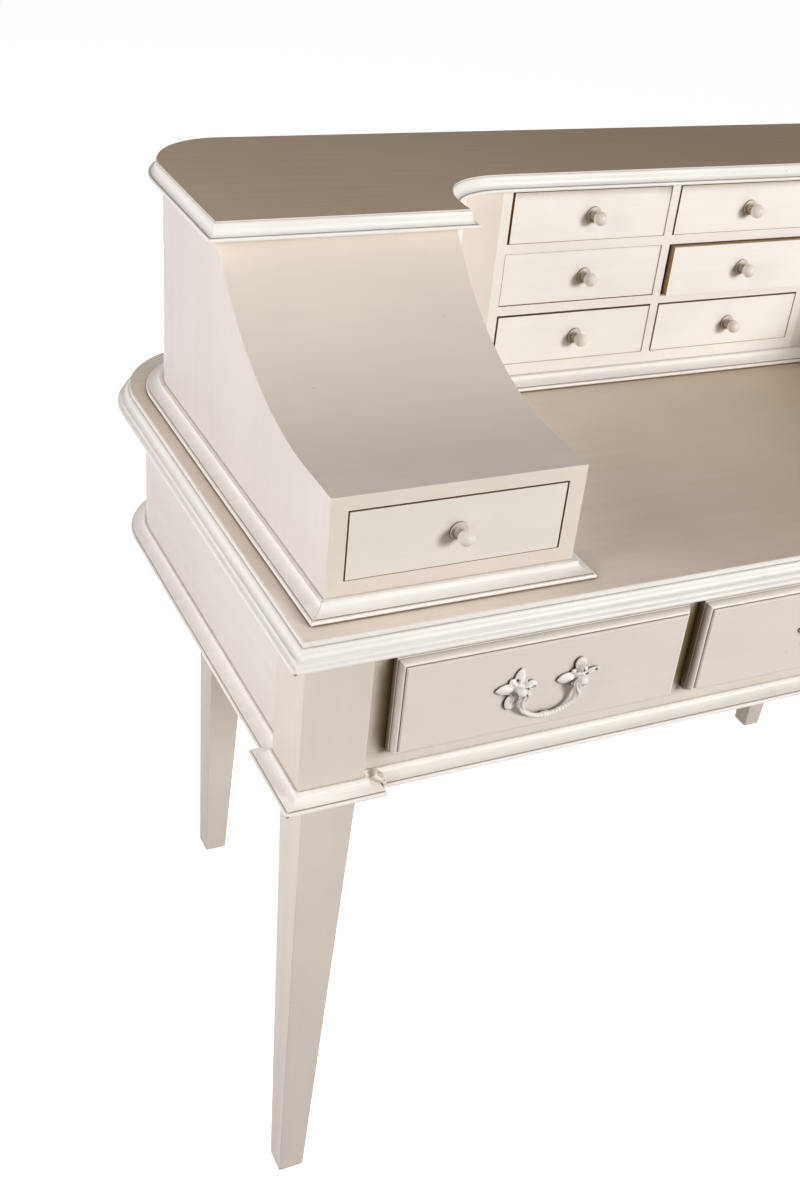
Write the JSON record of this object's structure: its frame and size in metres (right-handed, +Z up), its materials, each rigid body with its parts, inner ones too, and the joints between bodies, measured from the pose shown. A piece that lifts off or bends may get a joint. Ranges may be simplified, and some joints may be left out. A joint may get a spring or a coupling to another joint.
{
  "type": "writing desk",
  "caption": "Painted writing desk on tapered legs, with frieze drawers, a U-shaped superstructure with swept wings, and a bank of small drawers.",
  "frame": {"origin": "on the floor, under the middle of the whole desk", "axes": "+Z up, -Y towards the sitter, +X to the right of someone who sits at the desk"},
  "size_m": [1.258, 0.6514, 1.01],
  "materials": {
    "painted_wood": "satin cream paint with fine brush marks",
    "painted_drawer": "satin cream paint with fine brush marks",
    "inside_wood": "bare planed wood",
    "painted_casting": "satin cream paint over castings and turned knobs"
  },
  "bodies": {
    "desk": {"desk_top": "painted_wood", "front_leg_left": "painted_wood", "front_leg_right": "painted_wood", "rear_leg_left": "painted_wood", "rear_leg_right": "painted_wood", "side_apron_left": "painted_wood", "side_apron_right": "painted_wood", "back_apron": "painted_wood", "frieze_frame": "painted_wood", "drawer_runner_frame": "inside_wood", "front_lower_moulding": "painted_wood", "post_lower_moulding_left": "painted_wood", "post_lower_moulding_right": "painted_wood", "rear_lower_moulding": "painted_wood", "superstructure_top": "painted_wood", "outer_wall_left": "painted_wood", "outer_wall_right": "painted_wood", "inner_wall_left": "painted_wood", "inner_wall_right": "painted_wood", "superstructure_back": "painted_wood", "wing_sweep_left": "painted_wood", "wing_sweep_right": "painted_wood", "wing_face_frame_left": "painted_wood", "wing_face_frame_right": "painted_wood", "wing_drawer_floor_left": "inside_wood", "wing_drawer_floor_right": "inside_wood", "bank_frame": "painted_wood", "base_moulding_outer": "painted_wood", "base_moulding_inner": "painted_wood"},
    "frieze_drawer_left": {"frieze_drawer_left_front": "painted_drawer", "frieze_drawer_left_tray": "inside_wood", "frieze_drawer_left_post_left": "painted_casting", "frieze_drawer_left_post_right": "painted_casting"},
    "frieze_drawer_left_bail": {"frieze_drawer_left_bail": "painted_casting"},
    "frieze_drawer_middle": {"frieze_drawer_middle_front": "painted_drawer", "frieze_drawer_middle_tray": "inside_wood", "frieze_drawer_middle_post_left": "painted_casting", "frieze_drawer_middle_post_right": "painted_casting"},
    "frieze_drawer_middle_bail": {"frieze_drawer_middle_bail": "painted_casting"},
    "frieze_drawer_right": {"frieze_drawer_right_front": "painted_drawer", "frieze_drawer_right_tray": "inside_wood", "frieze_drawer_right_post_left": "painted_casting", "frieze_drawer_right_post_right": "painted_casting"},
    "frieze_drawer_right_bail": {"frieze_drawer_right_bail": "painted_casting"},
    "wing_drawer_left": {"wing_drawer_left_box": "painted_drawer", "wing_drawer_left_knob": "painted_casting"},
    "wing_drawer_right": {"wing_drawer_right_box": "painted_drawer", "wing_drawer_right_knob": "painted_casting"},
    "bank_drawer_bottom_left": {"bank_drawer_bottom_left_box": "painted_drawer", "bank_drawer_bottom_left_knob": "painted_casting"},
    "bank_drawer_bottom_right": {"bank_drawer_bottom_right_box": "painted_drawer", "bank_drawer_bottom_right_knob": "painted_casting"},
    "bank_drawer_middle_left": {"bank_drawer_middle_left_box": "painted_drawer", "bank_drawer_middle_left_knob": "painted_casting"},
    "bank_drawer_middle_right": {"bank_drawer_middle_right_box": "painted_drawer", "bank_drawer_middle_right_knob": "painted_casting"},
    "bank_drawer_top_left": {"bank_drawer_top_left_box": "painted_drawer", "bank_drawer_top_left_knob": "painted_casting"},
    "bank_drawer_top_right": {"bank_drawer_top_right_box": "painted_drawer", "bank_drawer_top_right_knob": "painted_casting"}
  },
  "joints": [
    {"name": "frieze_drawer_left_slide", "type": "slide", "parent": "desk", "child": "frieze_drawer_left", "axis": [0, -1, 0], "range_m": [0, 0.3]},
    {"name": "frieze_drawer_left_bail_hinge", "type": "hinge", "parent": "frieze_drawer_left", "child": "frieze_drawer_left_bail", "pos_m": [-0.36, -0.3223, 0.667], "axis": [-1, 0, 0], "range_deg": [0, 105]},
    {"name": "frieze_drawer_middle_slide", "type": "slide", "parent": "desk", "child": "frieze_drawer_middle", "axis": [0, -1, 0], "range_m": [0, 0.3]},
    {"name": "frieze_drawer_middle_bail_hinge", "type": "hinge", "parent": "frieze_drawer_middle", "child": "frieze_drawer_middle_bail", "pos_m": [0, -0.3223, 0.667], "axis": [-1, 0, 0], "range_deg": [0, 105]},
    {"name": "frieze_drawer_right_slide", "type": "slide", "parent": "desk", "child": "frieze_drawer_right", "axis": [0, -1, 0], "range_m": [0, 0.3]},
    {"name": "frieze_drawer_right_bail_hinge", "type": "hinge", "parent": "frieze_drawer_right", "child": "frieze_drawer_right_bail", "pos_m": [0.36, -0.3223, 0.667], "axis": [-1, 0, 0], "range_deg": [0, 105]},
    {"name": "wing_drawer_left_slide", "type": "slide", "parent": "desk", "child": "wing_drawer_left", "axis": [0, -1, 0], "range_m": [0, 0.22]},
    {"name": "wing_drawer_right_slide", "type": "slide", "parent": "desk", "child": "wing_drawer_right", "axis": [0, -1, 0], "range_m": [0, 0.22]},
    {"name": "bank_drawer_bottom_left_slide", "type": "slide", "parent": "desk", "child": "bank_drawer_bottom_left", "axis": [0, -1, 0], "range_m": [0, 0.085]},
    {"name": "bank_drawer_bottom_right_slide", "type": "slide", "parent": "desk", "child": "bank_drawer_bottom_right", "axis": [0, -1, 0], "range_m": [0, 0.085]},
    {"name": "bank_drawer_middle_left_slide", "type": "slide", "parent": "desk", "child": "bank_drawer_middle_left", "axis": [0, -1, 0], "range_m": [0, 0.085]},
    {"name": "bank_drawer_middle_right_slide", "type": "slide", "parent": "desk", "child": "bank_drawer_middle_right", "axis": [0, -1, 0], "range_m": [-0.008, 0.077]},
    {"name": "bank_drawer_top_left_slide", "type": "slide", "parent": "desk", "child": "bank_drawer_top_left", "axis": [0, -1, 0], "range_m": [0, 0.085]},
    {"name": "bank_drawer_top_right_slide", "type": "slide", "parent": "desk", "child": "bank_drawer_top_right", "axis": [0, -1, 0], "range_m": [0, 0.085]}
  ]
}
